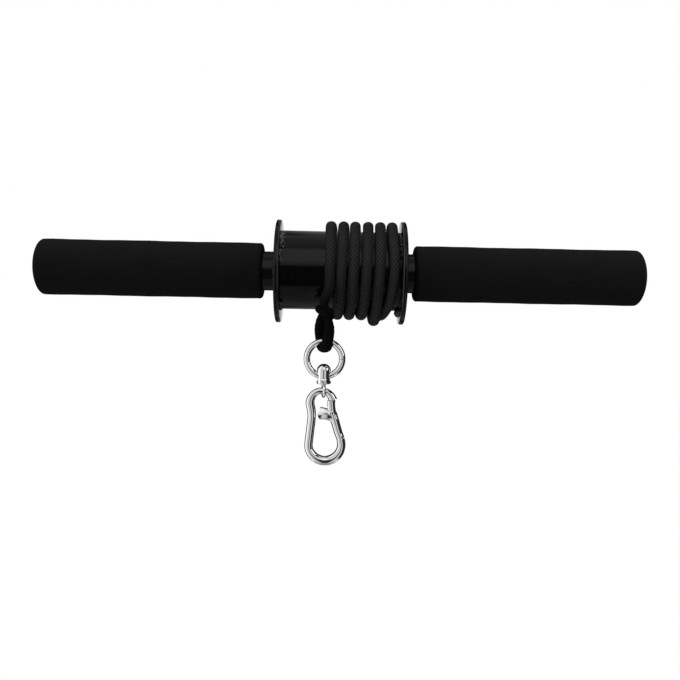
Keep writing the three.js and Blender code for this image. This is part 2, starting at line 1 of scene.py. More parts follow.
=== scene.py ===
# %% [markdown]
# # A wrist roller, dressed on its fixed frame
# The real thing is a steel bar with two foam grips and a welded spool, a black braided cord wound on the
# spool, and a bright snap hook that hangs from the cord by a ring and a swivel. The frame that is loaded
# here holds the working shapes and never moves. Each cell below makes one finish or one piece and sets it
# on that frame.

from math import cos, pi, radians, sin

import bmesh
import bpy
import numpy as np
from mathutils import Matrix, Vector


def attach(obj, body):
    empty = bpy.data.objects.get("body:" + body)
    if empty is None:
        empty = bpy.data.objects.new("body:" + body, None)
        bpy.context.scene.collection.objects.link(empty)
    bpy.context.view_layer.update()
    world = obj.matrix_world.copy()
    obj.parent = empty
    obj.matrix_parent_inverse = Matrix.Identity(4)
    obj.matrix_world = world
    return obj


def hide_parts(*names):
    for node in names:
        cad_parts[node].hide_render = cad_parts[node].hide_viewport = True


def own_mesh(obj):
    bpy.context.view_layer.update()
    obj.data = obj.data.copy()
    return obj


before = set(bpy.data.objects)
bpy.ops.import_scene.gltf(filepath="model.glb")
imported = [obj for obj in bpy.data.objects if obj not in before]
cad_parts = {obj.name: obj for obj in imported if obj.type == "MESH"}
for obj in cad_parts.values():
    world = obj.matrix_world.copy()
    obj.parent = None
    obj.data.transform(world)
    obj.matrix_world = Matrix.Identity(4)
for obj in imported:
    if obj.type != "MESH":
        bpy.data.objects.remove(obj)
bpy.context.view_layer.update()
mm = 0.001
turn = 2 * pi


def add_object(name, data):
    """A new object in the scene."""
    made = bpy.data.objects.new(name, data)
    bpy.context.scene.collection.objects.link(made)
    return made


# %% [markdown]
# ## The camera
# The photograph was taken from just above the bar's height, half a metre away, looking a little down so
# that the hook stays in the picture. The bar leans by about one degree, which is the camera's roll. The
# lens is worked out from a focal length in pixels, and holds for any size of picture.

# %% Place the camera
picture_pixels = 680
focal_pixels = 763
film_width = 36
camera_place = Vector((-2.9, -498, 5.2)) * mm
pan, tilt, roll = radians(-0.404), radians(5.657), radians(1.16)
camera_data = bpy.data.cameras.new("photographer")
camera_data.sensor_width = film_width
camera_data.lens = film_width * focal_pixels / picture_pixels
camera = add_object("photographer", camera_data)
camera.matrix_world = (
    Matrix.Translation(camera_place)
    @ Matrix.Rotation(pan, 4, "Z")
    @ Matrix.Rotation(pi / 2 - tilt, 4, "X")
    @ Matrix.Rotation(roll, 4, "Z")
)
bpy.context.scene.camera = camera
bpy.context.scene.view_settings.view_transform = "Standard"
print("lens:", round(camera_data.lens, 1), "mm")

# %% [markdown]
# ## Nodes written as sums
# Wiring nodes one by one hides the idea of a finish, so a Signal wraps a node's output and adds a Math
# node for each operator. Every node comes from one method, Finish.node, which takes its kind, what goes into
# its sockets, and its settings.


# %% Signals and finishes
class Signal:
    """One number that varies over a surface, with the arithmetic that adds Math nodes."""

    def __init__(self, finish, socket):
        self.finish, self.socket = finish, socket

    def math(self, operation, *values):
        outputs = self.finish.node("Math", dict(enumerate(values)), operation=operation)
        return Signal(self.finish, outputs[0])

    def __add__(self, other):
        return self.math("ADD", self, other)

    def __sub__(self, other):
        return self.math("SUBTRACT", self, other)

    def __mul__(self, other):
        return self.math("MULTIPLY", self, other)

    def __rsub__(self, other):
        return self.math("SUBTRACT", other, self)

    __radd__, __rmul__ = __add__, __mul__

    def floor(self):
        return self.math("FLOOR", self)

    def fraction(self):
        return self.math("FRACT", self)

    def sine(self):
        return self.math("SINE", self)

    def root(self):
        return self.math("SQRT", self.math("MAXIMUM", self, 0))

    def between(self, low, high):
        """0 below low, 1 above high, and smooth in between."""
        inputs = {0: self, 1: low, 2: high}
        outputs = self.finish.node("MapRange", inputs, interpolation_type="SMOOTHSTEP")
        return Signal(self.finish, outputs[0])


class Finish:
    """A material, or the world, that is being wired."""

    def __init__(self, owner):
        owner.use_nodes = True
        self.owner, self.tree = owner, owner.node_tree
        self.tree.nodes.clear()

    def node(self, kind, inputs=None, **settings):
        """Adds a node, and gives its outputs."""
        made = self.tree.nodes.new("ShaderNode" + kind)
        for name, value in settings.items():
            setattr(made, name, value)
        for name, value in (inputs or {}).items():
            socket = made.inputs[name]
            value = value.socket if isinstance(value, Signal) else value
            if isinstance(value, bpy.types.NodeSocket):
                self.tree.links.new(value, socket)
            else:
                socket.default_value = value
        return made.outputs

    def place(self, kind="Object"):
        """Where a point is, in the piece's own space, in metres."""
        return self.node("TexCoord")[kind]

    def parts(self, vector):
        """The three numbers of a vector, as signals."""
        return [Signal(self, part) for part in self.node("SeparateXYZ", {0: vector})]

    def grain(self, size, detail=3.0, stretch=(1, 1, 1)):
        """Noise with features of about that size in metres."""
        mapped = self.node("Mapping", {"Vector": self.place(), "Scale": stretch})[0]
        inputs = {"Vector": mapped, "Scale": 1 / size, "Detail": detail}
        return Signal(self, self.node("TexNoise", inputs)[0])

    def blend(self, share, first, second):
        """A colour from first to second, each given as three numbers or as another blend."""
        ends = [(*colour, 1) if isinstance(colour, tuple) else colour for colour in (first, second)]
        return self.node("Mix", {0: share, 6: ends[0], 7: ends[1]}, data_type="RGBA")[2]

    def bump(self, height, distance, strength=1.0):
        inputs = {"Height": height, "Distance": distance, "Strength": strength}
        return self.node("Bump", inputs)[0]

    def shader(self, **sockets):
        """A Principled shader, with the sockets that are named."""
        names = {name.replace("_", " "): value for name, value in sockets.items()}
        return self.node("BsdfPrincipled", names)[0]

    def mixed(self, share, first, second):
        """A shader that goes from first to second."""
        return self.node("MixShader", {0: share, 1: first, 2: second})[0]

    def finished(self, shader):
        """The material, with that shader as its surface."""
        self.node("OutputMaterial", {"Surface": shader})
        return self.owner

    def surface(self, **sockets):
        return self.finished(self.shader(**sockets))


def new_finish(name):
    return Finish(bpy.data.materials.new(name))


# %% [markdown]
# ## The studio
# Gloss black and chrome show hardly any colour but the room's, so the room is drawn with care. Lamps and
# boards could be built round the part, but brightness by direction is easier to shape and has no noise. It
# is a pale tent, brightest high in front and in a band level with the part behind it, and dimmer near the
# table and under the roof. In it stand the dark things that draw the black lines of such a picture: the
# gap that the lens looks through, a board on each side and a seam in the roof. Matt surfaces get an even
# light from above instead, and the background is seen as plain white.


# %% Draw the room
def strip(value, low, high, soft):
    """One between low and high, with soft edges."""
    return value.between(low - soft, low + soft) * (1 - value.between(high - soft, high + soft))


# Directions are in degrees: height above the level, and from_front round to the right of the camera.
room = Finish(bpy.data.worlds.new("tent"))
right, back, up = room.parts(room.place("Generated"))
height = up.math("ARCSINE", up) * (180 / pi)
from_front = right.math("ARCTAN2", right, back * -1) * (180 / pi)
off_centre = from_front.math("ABSOLUTE", from_front)

behind = off_centre.between(80, 110)
front_wall = 0.3 + 0.3 * height.between(-45, -5) + 0.4 * height.between(14, 30)
back_wall = 0.3 + 0.85 * height.between(-20, -8) - 0.7 * height.between(9, 22)
wall = front_wall * (1 - behind) + back_wall * behind
beside = strip(off_centre, 14, 162, 6) * height.between(-66, -58)
side_wall = 0.64 + 0.5 * off_centre.between(52, 66)
wall = wall * (1 - beside) + side_wall * beside
roof, roof_level = height.between(60, 68), 0.45
wall = wall * (1 - roof) + roof_level * roof
board_height = strip(height, -52, 60, 5)
dark_things = {
    "gap for the lens": (strip(height, -47, 14, 3) * (1 - off_centre.between(6, 9)), 0.96),
    "seam in the roof": (strip(height, 67, 73, 2) * (1 - off_centre.between(80, 100)), 0.25),
    "right board": (strip(from_front, 38, 176, 4) * board_height, 0.98),
    "left board": (strip(from_front, -176, -104, 4) * board_height, 0.97),
}
dark = 0
for dark_shape, darkness in dark_things.values():
    dark = up.math("MAXIMUM", dark_shape * darkness, dark)
backdrop = strip(off_centre, 166, 200, 3) * strip(height, -16, 12, 4) * 0.45
seen_in_gloss = wall * (1 - dark) + backdrop
soft_light = 0.1 + 0.95 * height.between(-30, 80)
rays = room.node("LightPath")
matt, direct = Signal(room, rays["Is Diffuse Ray"]), Signal(room, rays["Is Camera Ray"])
level = soft_light * matt + seen_in_gloss * (1 - matt)
strength = direct + level * (1 - direct)
light = room.node("Background", {"Color": (1, 1, 1, 1), "Strength": strength})
room.node("OutputWorld", {"Surface": light[0]})
bpy.context.scene.world = room.owner

soft_box = bpy.data.lights.new("right box", "AREA")
soft_box.shape, soft_box.size, soft_box.size_y, soft_box.energy = "RECTANGLE", 0.25, 0.7, 1.6
lamp = add_object("right box", soft_box)
lamp.location = (0.9, -0.5, 0.35)
lamp.rotation_euler = (-lamp.location).to_track_quat("-Z", "Y").to_euler()
print("dark in the room:", ", ".join(dark_things))

# %% [markdown]
# ## Turned and swept pieces
# Most pieces are either turned on an axis or drawn along a line. Turned ones are an outline that bmesh
# spins. Swept ones start as a flat grid, which is rolled round its line: one side of the grid runs along
# the line and the other goes round it, so the grid's own UV map comes out as the cord's lay, which a
# bevelled curve wouldn't give. Sizes are in millimetres, and are scaled when a piece is set on the frame.

# %% Helpers for shapes
merge_distance = 1e-4
seam_distance = 1e-5


def as_mesh(name, bm):
    """A mesh with that shape. The shape itself is used up."""
    mesh = bpy.data.meshes.new(name)
    bm.to_mesh(mesh)
    bm.free()
    return mesh


def rotated(bm, angle, axis):
    bmesh.ops.rotate(bm, verts=bm.verts, cent=(0, 0, 0), matrix=Matrix.Rotation(angle, 3, axis))
    return bm


def shifted(bm, way):
    bmesh.ops.translate(bm, vec=way, verts=bm.verts)
    return bm


def turned(outline, sides, axis="X"):
    """An outline of (distance along the axis, radius) pairs, spun once round."""
    bm = bmesh.new()
    points = [bm.verts.new((along, 0, radius)) for along, radius in outline]
    edges = [bm.edges.new(pair) for pair in zip(points, points[1:])]
    if outline[0][1] > 0 or outline[-1][1] > 0:
        edges.append(bm.edges.new((points[-1], points[0])))
    geom = points + edges
    bmesh.ops.spin(bm, geom=geom, cent=(0, 0, 0), axis=(1, 0, 0), angle=turn, steps=sides, use_merge=True)
    bmesh.ops.remove_doubles(bm, verts=bm.verts, dist=merge_distance)
    if axis == "Z":
        rotated(bm, -pi / 2, "Y")
    bmesh.ops.recalc_face_normals(bm, faces=bm.faces)
    return bm


def arc(centre, radii, start, stop, steps):
    """Points of an arc in an outline, between two angles in degrees. One radius makes it round."""
    across, up = np.broadcast_to(radii, 2)
    angles = [radians(start + (stop - start) * i / steps) for i in range(steps + 1)]
    return [(centre[0] + across * cos(a), centre[1] + up * sin(a)) for a in angles]


def directions(line, closed=False):
    """The unit vectors along a line of points."""
    if closed:
        ahead, behind = np.roll(line, -1, 0), np.roll(line, 1, 0)
    else:
        ahead, behind = np.vstack([line[1:], line[-1:]]), np.vstack([line[:1], line[:-1]])
    return unit(ahead - behind)


def unit(vectors):
    return vectors / np.linalg.norm(vectors, axis=-1, keepdims=True)


def swept(line, widths, depths, reference, sides, closed=False, square=1.0, lean=0.0):
    """A skin round a line: widths lie square to reference, and depths along it. A section is an ellipse,
    or nearer to a rectangle where square is below one, and lean turns it about the line."""
    line = np.array(line, float)
    along = directions(line, closed)
    across = unit(np.cross(along, np.array(reference, float)))
    deep = np.cross(across, along)
    angles = turn * (np.arange(sides) + 0.5) / sides
    given = (widths, depths, square, lean)
    widths, depths, square, lean = (np.broadcast_to(value, len(line))[:, None] for value in given)
    wide = widths * np.sign(np.cos(angles)) * np.abs(np.cos(angles)) ** square
    thick = depths * np.sign(np.sin(angles)) * np.abs(np.sin(angles)) ** square
    wide, thick = wide * np.cos(lean) - thick * np.sin(lean), wide * np.sin(lean) + thick * np.cos(lean)
    rings = line[:, None] + wide[..., None] * across[:, None] + thick[..., None] * deep[:, None]
    return skin(np.vstack([rings, rings[:1]]) if closed else rings)


def skin(rings):
    """A closed tube skin: a grid with a row for each ring, rolled up and capped."""
    rows, sides = rings.shape[:2]
    bm = bmesh.new()
    bm.loops.layers.uv.new("lay")
    bmesh.ops.create_grid(bm, x_segments=sides, y_segments=rows - 1, size=0.5, calc_uvs=True)
    for vert in bm.verts:
        row = round((vert.co.y + 0.5) * (rows - 1))
        place = round((vert.co.x + 0.5) * sides) % sides
        vert.co = rings[row, place]
    bmesh.ops.remove_doubles(bm, verts=bm.verts, dist=seam_distance)
    bmesh.ops.holes_fill(bm, edges=[e for e in bm.edges if e.is_boundary])
    bmesh.ops.recalc_face_normals(bm, faces=bm.faces)
    return bm


def carve(bm, cutter, operation="DIFFERENCE"):
    """bm with the cutter's shape taken away, added, or kept."""
    carved, knife = (add_object("shape", as_mesh("shape", part)) for part in (bm, cutter))
    cut = carved.modifiers.new("carve", "BOOLEAN")
    cut.object, cut.solver, cut.operation = knife, "EXACT", operation
    result = bmesh.new()
    result.from_object(carved, bpy.context.evaluated_depsgraph_get())
    for used in (carved, knife):
        bpy.data.meshes.remove(used.data)
    bmesh.ops.remove_doubles(result, verts=result.verts, dist=merge_distance)
    return result


def block(size_x, size_y, size_z, centre, slant=0.0, pivot=(0, 0, 0)):
    """A cutter box, turned about Y."""
    bm = bmesh.new()
    bmesh.ops.create_cube(bm, size=1)
    bmesh.ops.scale(bm, vec=(size_x, size_y, size_z), verts=bm.verts)
    return shifted(rotated(shifted(bm, centre), slant, "Y"), pivot)


def joined(parts):
    """Several shapes in one mesh."""
    whole = bmesh.new()
    for part in parts:
        mesh = as_mesh("part", part)
        whole.from_mesh(mesh)
        bpy.data.meshes.remove(mesh)
    return whole


def set_on_frame(name, bm, finish, body, stands_for=(), sharp=35, place=None):
    """Makes an object of a shape in millimetres, rides it on a body and hides the solids it stands for."""
    if place is not None:
        bmesh.ops.transform(bm, matrix=place, verts=bm.verts)
    bmesh.ops.scale(bm, vec=(mm, mm, mm), verts=bm.verts)
    mesh = as_mesh(name, bm)
    mesh.shade_smooth()
    mesh.set_sharp_from_angle(angle=radians(sharp))
    mesh.materials.append(finish)
    piece = add_object(name, mesh)
    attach(piece, body)
    if stands_for:
        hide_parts(*stands_for)
    print(name, "has", len(mesh.polygons), "faces")
    return piece


# %% [markdown]
# ## The cord's braid
# The cover of such a cord is two sets of strands that spiral opposite ways and pass over and under each
# other, which gives small slanting pads in rows. The pattern reads the UV map that is laid along the cord:
# one unit across it is once round, and one unit along it is one repeat of the braid. Its colour holds
# painted light and shade: the valleys between pads are painted near-black as painted shade, the pads pale
# as painted highlight, with a little random wear, and the turns on the drum are painted paler on top as
# painted light from above. The last tenth, which hangs below the drum, is painted darker as painted shade.

# %% Braided cord finish
strands_round = 8
braid_repeat = 2.9
hanging_from, fading_over = 1000 / braid_repeat, 14

braid = new_finish("braided_cord")
round_cord, along, _ = braid.parts(braid.node("UVMap", uv_map="lay")[0])
one_way = round_cord * strands_round + along
other_way = round_cord * strands_round - along
odd = ((one_way.floor() + other_way.floor()) * 0.5).fraction() * 2
across = one_way.fraction() * (1 - odd) + other_way.fraction() * odd
length = other_way.fraction() * (1 - odd) + one_way.fraction() * odd
from_middle = across * 2 - 1
pad = (1 - from_middle * from_middle).root() * (length * pi).sine().root()
yarn = ((across * (turn * 3)).sine() * 0.5 + 0.5) * pad
fuzz = braid.grain(0.0004, detail=2)
wear = braid.grain(0.03, detail=2)
relief = braid.bump(pad + yarn * 0.15 + fuzz * 0.1, distance=0.0004)
up = braid.parts(braid.place())[2]
# Painted light: the cord's colour gets paler towards its top, as if lit from above.
painted_top_light = 0.5 + 0.5 * up.between(-0.008, 0.022)
# Painted shade and highlight: valleys between pads are near-black and the pads pale; the large grain is
# random wear.
painted_pad_light_and_wear = pad.between(0.35, 0.95) * (0.6 + wear * 0.6) * painted_top_light
# The lit copy of the cord, for the turns on the drum.
lit_wound = braid.shader(
    Base_Color=braid.blend(painted_pad_light_and_wear, (0.0003, 0.0003, 0.0003), (0.0235, 0.0232, 0.0236)),
    Roughness=0.34 + fuzz * 0.25,
    Specular_IOR_Level=0.3,
    Normal=relief,
)
# Painted shade: the hanging end is a darker, duller copy of the cord, as if shaded below the drum, with its
# valleys darker still.
shaded_hanging = braid.shader(
    Base_Color=braid.blend(pad, (0.0002, 0.0002, 0.0002), (0.0016, 0.0015, 0.0014)),
    Roughness=0.5 + fuzz * 0.2,
    Specular_IOR_Level=0.08,
    Normal=relief,
)
# Where along the cord the painted shade of the hanging end fades in.
painted_shade_share = along.between(hanging_from, hanging_from + fading_over)
cord_finish = braid.finished(braid.mixed(painted_shade_share, lit_wound, shaded_hanging))
print("cord finish:", len(cord_finish.node_tree.nodes), "nodes")

# %% [markdown]
# ## The cord's route
# The cord is one length. It starts at a stopper knot inside the drum, comes out through a hole near the
# right flange, and winds towards the left. The turns aren't quite even: the last one slips under its
# neighbour at the bottom and the neighbour rides over it, as on the real spool. From the front of the
# first turn the cord drops straight down, is knotted, goes round the ring as an eye and ends in its knot.
# The winding is a formula, and what hangs is a smooth line through a few points.

# %% Work out the route
cord_diameter = 6.0
drum_radius = 25.4
drum_lift = 1.0
first_turn_x = -5.7
turn_pitch = 7.87
turns_wound = 5
anchor_turn, anchor_radius = 0.21, 16.8
cord_gap = 0.3
wind_radius = (drum_radius + cord_gap + cord_diameter / 2) / cos(pi / 24)
cord_y = -wind_radius


def hump(value, middle, half_width):
    """One at the middle, falling smoothly to nothing at the half width."""
    share = np.minimum(np.abs(value - middle) / half_width, 1)
    return np.cos(share * pi / 2) ** 2


def winding(turns):
    """Points of the winding, counted in turns from the first turn's top, down the back and up the front."""
    last, quarter, sixth = turns_wound, 1 / 4, 1 / 6
    uneven, top_shift, tail_shift, slip_under, bulge, ride_over = 0.22, 0.7, 1.3, 3.3, 1.7, 3.6
    x = (
        first_turn_x
        + turn_pitch * np.minimum(turns, last)
        + uneven * np.sin(turns * turn * 0.37)
        - top_shift * hump(np.mod(turns + 1 / 2, 1), 1 / 2, quarter)
        + tail_shift * hump(turns, -quarter, quarter)
        - slip_under * hump(turns, last - 1 / 2, sixth)
        + bulge * hump(turns, last - quarter, sixth)
    )
    dive = np.clip((turns - last) / anchor_turn, 0, 1)
    radius = wind_radius + ride_over * hump(turns, last - 3 / 2, quarter)
    radius = radius - (wind_radius - anchor_radius) * dive**2 * (3 - 2 * dive)
    return np.stack([x, radius * np.sin(turns * turn), drum_lift + radius * np.cos(turns * turn)], axis=1)


def smooth_line(points, steps):
    """A Catmull-Rom line through the points."""
    points = np.array(points, float)
    padded = np.vstack([2 * points[0] - points[1], points, 2 * points[-1] - points[-2]])
    out = []
    for a, b, c, d in zip(padded, padded[1:], padded[2:], padded[3:]):
        for t in np.arange(steps) / steps:
            bent = (2 * a - 5 * b + 4 * c - d) * t**2 + (3 * b - a - 3 * c + d) * t**3
            out.append(0.5 * (2 * b + (c - a) * t + bent))
    return np.array([*out, points[-1]])


ring_top = np.array([-8.9, cord_y, -42.2])
ring_wire = 4.0
eye_middle = np.array([-9.35, cord_y, 0])
knot_top, knot_bottom = -19.7, -29.1
bight_thickness, bight_width, bight_gap, bight_spread = 4.4, 8.0, 0.55, 1.5
wraps, wrap_radius, wrap_lean, wraps_start, wraps_rise = 1.5, 3.6, 0.45, 2.6, 4.4
tuck_depth = 2.6
stopper_reach = 16
route_step = 0.48


def eye_side(z):
    """The level direction from the eye's front strand to its back one. It turns on the way down."""
    low_twist, more_twist, from_z, over = 18, 30, -40.5, 7
    twist = radians(low_twist + more_twist * float(np.clip((z - from_z) / over, 0, 1)))
    return np.array([-sin(twist), cos(twist), 0])


def at_eye(offset, z):
    return eye_middle + eye_side(z) * offset + (0, 0, z)


end_turn, a_little = turns_wound + anchor_turn, 0.02
hole = winding(np.array([end_turn, end_turn - a_little]))
inward = unit(hole[0] - hole[1])
inside = [hole[0] + inward * stopper_reach, hole[0] + inward * stopper_reach / 2]
wound_part = winding(np.linspace(end_turn, -1 / 4, 760))
tail = [(x, cord_y, z) for x, z in ((-6.7, -9), (-8.3, -13), (-9.7, -17), (-9.8, -19.4))]
eye_front = [at_eye(-1.2, -24), at_eye(-2.9, -29), at_eye(-4.1, -34), at_eye(-6.1, -39)]
low = ring_wire / 2 + bight_gap + bight_thickness / 2
half_round = arc((0, 0), (low + bight_spread, low), 0, 180, 9)
bight = [at_eye(-across, ring_top[2] - down) for across, down in half_round]
eye_back = [at_eye(6.1, -39), at_eye(4.1, -34), at_eye(3.4, -29.5)]
knot = []
for share in np.linspace(0, 1, 17)[1:]:
    angle = turn * wraps * share
    side = eye_side(knot_bottom)
    out = side * cos(angle) + np.array([side[1], -side[0], 0]) * sin(angle)
    z = knot_bottom + wraps_start - wrap_lean * out[0] * wrap_radius + wraps_rise * share
    knot.append(eye_middle + out * wrap_radius + (0, 0, z))
tucked = eye_middle + (0, 0, knot_top - tuck_depth)
coming_out = smooth_line([*inside, *wound_part[:1]], 12)
hanging_part = smooth_line([wound_part[-1], *tail, *eye_front, *bight, *eye_back, *knot, tucked], 14)

# Even steps, and how far along the cord each point lies.
line = np.vstack([coming_out[:-1], wound_part[:-1], hanging_part])
reached = np.concatenate([[0], np.cumsum(np.linalg.norm(np.diff(line, axis=0), axis=1))])
distance = np.linspace(0, reached[-1], round(reached[-1] / route_step) + 1)
route = np.stack([np.interp(distance, reached, line[:, k]) for k in range(3)], axis=1)
cord_length = distance[-1]
print("cord length:", round(cord_length), "mm, with", len(route), "points")

# %% [markdown]
# ## The cord itself
# The cord's skin follows the route ring by ring, and doesn't twist by itself. Its strands stand proud in
# the mesh too, so that edges seen close up aren't smooth. Where the cord bends hard round the ring it
# flattens, and its stopper inside the drum is thicker.

# %% Make the cord
cord_sides = 32
strand_height = 0.2
knot_slim = 0.82
stopper_swell = 0.38
pressed_wider = 0.15
bight_reach, bight_ease = 15, 0.03
hanging_reach = 9


def braid_relief(round_cord, along):
    """How far the strands stand out, from 0 to 1: the same pads as in the finish."""
    one_way, other_way = round_cord * strands_round + along, round_cord * strands_round - along
    odd = np.mod(np.floor(one_way) + np.floor(other_way), 2)
    across, length = np.mod(one_way, 1), np.mod(other_way, 1)
    across, length = np.where(odd > 0, length, across), np.where(odd > 0, across, length)
    return np.sqrt(np.clip(1 - (2 * across - 1) ** 2, 0, 1) * np.sin(pi * length))


def smoothed(values, reach):
    """The mean of each value and its neighbours on both sides."""
    window = 2 * reach + 1
    return np.convolve(np.pad(values, reach, mode="edge"), np.ones(window) / window, mode="valid")


# The side vectors are carried along the route with no twist of their own.
along = directions(route)
side = np.zeros_like(route)
side[0] = unit(np.cross(along[0], [0, 0, 1]))
for i in range(1, len(route)):
    moved = side[i - 1] - along[i] * side[i - 1].dot(along[i])
    side[i] = moved / np.linalg.norm(moved)
other = np.cross(along, side)

share = np.arange(cord_sides) / cord_sides
round_cord, repeats = np.meshgrid(share, distance / braid_repeat)
relief = braid_relief(round_cord, repeats)
x, y, z = route.T
knotted = (np.abs(y - cord_y) < hanging_reach) & (z < knot_top) & (z > knot_bottom) & (x < 0)
slim = smoothed(np.where(knotted, knot_slim, 1.0), 8)
stopper = 1 + stopper_swell * hump(distance, stopper_reach / 2, stopper_reach / 2)
radius = (cord_diameter / 2 * slim * stopper)[:, None] - strand_height * (1 - relief)
cosines, sines = (wave(turn * share)[None, :, None] for wave in (np.cos, np.sin))
offset = radius[..., None] * (cosines * side[:, None] + sines * other[:, None])
on_drum = np.hypot(y, z - drum_lift) < wind_radius + cord_diameter * 2 / 3
offset[..., 0] *= 1 + pressed_wider * smoothed(np.where(on_drum, 1.0, 0.0), 12)[:, None]
bend = hump(np.linalg.norm(route - ring_top, axis=1), 0, bight_reach)[:, None, None]
twist = eye_side(ring_top[2])
wide = np.array([twist[1], -twist[0], 0])
thin = unit(np.cross(along, wide) + 1e-9)[:, None]
wider, thinner = bight_width / cord_diameter - 1 + bight_ease, bight_thickness / cord_diameter - 1
offset = offset + bend * wider * (offset @ wide)[..., None] * wide
offset = offset + bend * thinner * (offset * thin).sum(-1, keepdims=True) * thin
braided = skin(route[:, None] + offset)
lay = braided.loops.layers.uv["lay"]
repeats_in_all = cord_length / braid_repeat
for face in braided.faces:
    for loop in face.loops:
        loop[lay].uv.y *= repeats_in_all

cord = set_on_frame(
    "braided_cord", braided, cord_finish, "roller",
    ["rope_winding", "rope_anchor_knot", "rope_tail", "rope_eye"], sharp=180,
)

# %% [markdown]
# ## Gloss black enamel
# Bar, drum and flanges were welded together and painted as one. The paint is nearly pure black, and all
# that shows is its shine: a little uneven, like orange peel, with a few specks of dust under it.

# %% Sizes of the steelwork, and its enamel
bar_radius = 12.7
half_length = 195.5
half_spool = 38.1
flange_radius = 33.25
flange_thickness = 3.2
tube_wall = 2


def make_enamel_finish(name, rim_highlight=False):
    """Gloss black. Where asked, a painted highlight: a little grey on the rim, at the edge that faces the
    cord.
    """
    enamel = new_finish(name)
    peel = enamel.grain(0.0016, detail=1.5)
    waves = enamel.grain(0.012, detail=1.0)
    specks = enamel.grain(0.0007, detail=0.0).between(0.77, 0.82)
    haze = enamel.grain(0.02, detail=4)
    height = peel * 0.35 + waves * 1.2 + specks * 0.8
    colour = enamel.blend(haze.between(0.35, 0.8), (0.0022, 0.001, 0.0012), (0.0034, 0.0022, 0.0025))
    # Painted highlight: grey on the rim's inner edge, standing in for a light's reflection there.
    if rim_highlight:
        x, y, z = enamel.parts(enamel.place())
        rim_start = (flange_radius - 0.65) * mm
        at_rim = (y * y + z * z).root().between(rim_start, rim_start + 0.6 * mm)
        past_face = x.math("ABSOLUTE", x).between((half_spool + 0.3) * mm, (half_spool + 1.1) * mm)
        grey = enamel.blend(haze, (0.03, 0.03, 0.032), (0.09, 0.09, 0.094))
        colour = enamel.blend(at_rim * (1 - past_face) * haze.between(0.3, 0.5), colour, grey)
    return enamel.surface(
        Base_Color=colour,
        Roughness=0.09 + haze * 0.1 + specks * 0.1,
        Specular_IOR_Level=0.24,
        Normal=enamel.bump(height, distance=0.00004, strength=0.6),
    )


enamel_finish = make_enamel_finish("gloss_black_enamel")
rim_finish = make_enamel_finish("gloss_black_flange", rim_highlight=True)
print("enamel finish:", len(enamel_finish.node_tree.nodes), "nodes")

# %% [markdown]
# ## Bar, drum and flanges
# The bar is an inch tube that runs right through. The drum is a two inch tube round it, and a flange with
# an eased rim closes each of its ends. All four are turned shapes: an outline holds every radius and edge
# in one place, where a stock cylinder would need each edge found and rounded afterwards.

# %% Make bar, drum and flanges
bar_inset = 8.3
seat_gap = 0.3
drum_hole_radius = 3.4
rim_ease = 0.9
flange_bore = bar_radius + 0.1


def bar_shape():
    half = half_length - bar_inset
    outer, inner = bar_radius, bar_radius - tube_wall
    return turned([(-half, inner), (-half, outer), (half, outer), (half, inner)], 96)


def drum_shape():
    half, outer, inner = half_spool - seat_gap, drum_radius, drum_radius - tube_wall
    steps = np.linspace(-half, half, 13)
    tube = turned([(-half, inner), *((x, outer) for x in steps), (half, inner)], 128)
    way = winding(np.linspace(turns_wound, turns_wound + anchor_turn, 12))
    on_past = way[-1] + (way[-1] - way[-2]) * 2
    line = np.vstack([way[6:], on_past]) - (0, 0, drum_lift)
    return carve(tube, swept(line, drum_hole_radius, drum_hole_radius, (1, 0, 0), 32))


def flange_shape():
    inner, outer, ease = half_spool, half_spool + flange_thickness, rim_ease
    level = flange_radius - ease
    outline = [
        (inner, flange_bore),
        (inner, level),
        *arc((inner + ease, level), ease, 180, 90, 6),
        *arc((outer - ease, level), ease, 90, 0, 6),
        (outer, flange_bore),
    ]
    return turned(outline, 160)


def mirrored(bm):
    """The shape for the other end."""
    bmesh.ops.scale(bm, vec=(-1, 1, 1), verts=bm.verts)
    bmesh.ops.recalc_face_normals(bm, faces=bm.faces)
    return bm


set_on_frame("painted_bar", bar_shape(), enamel_finish, "roller", ["bar_tube"])
lifted = Matrix.Translation((0, 0, drum_lift))
set_on_frame("painted_drum", drum_shape(), enamel_finish, "roller", ["drum_tube"], place=lifted)
set_on_frame("right_flange", flange_shape(), rim_finish, "roller", ["flange_right"])
set_on_frame("left_flange", mirrored(flange_shape()), rim_finish, "roller", ["flange_left"])

# %% [markdown]
# ## Weld beads
# Short stitches of weld hold the drum in its flanges and the flanges on the bar. A weld bead is a row of
# ripples, one for each dab of the torch, in an uneven line that fattens in the middle. A bump map could
# draw the ripples, but the corner would stay sharp, so the beads are swept shapes, painted over.

# %% Make the weld beads
ripple = 1.15


def bead_shape(x, radius, middle, length, thickness, seed):
    """A stitch of weld round the X axis. Angles are in degrees from the top towards the front."""
    chance = np.random.default_rng(seed)
    count = max(int(radians(length) * radius / ripple), 4)
    share = np.linspace(0, 1, count * 8 + 1)
    angle = np.radians(middle + length * (share - 0.5))
    dabs = np.interp(share * count, np.arange(count + 1), chance.uniform(-1, 1, count + 1))
    wobble = 0.16 * thickness * dabs
    out = radius + wobble
    line = np.stack([x + wobble, -out * np.sin(angle), out * np.cos(angle)], axis=1)
    ripples = np.abs(np.sin(share * count * pi)) ** 0.6
    ends = np.clip(np.sin(pi * np.clip(share, 0.015, 0.985)) * 4, 0, 1) ** 0.5
    size = thickness * ends * (0.84 + 0.2 * ripples + 0.1 * dabs)
    return swept(line, size, size, (1, 0, 0), 20)


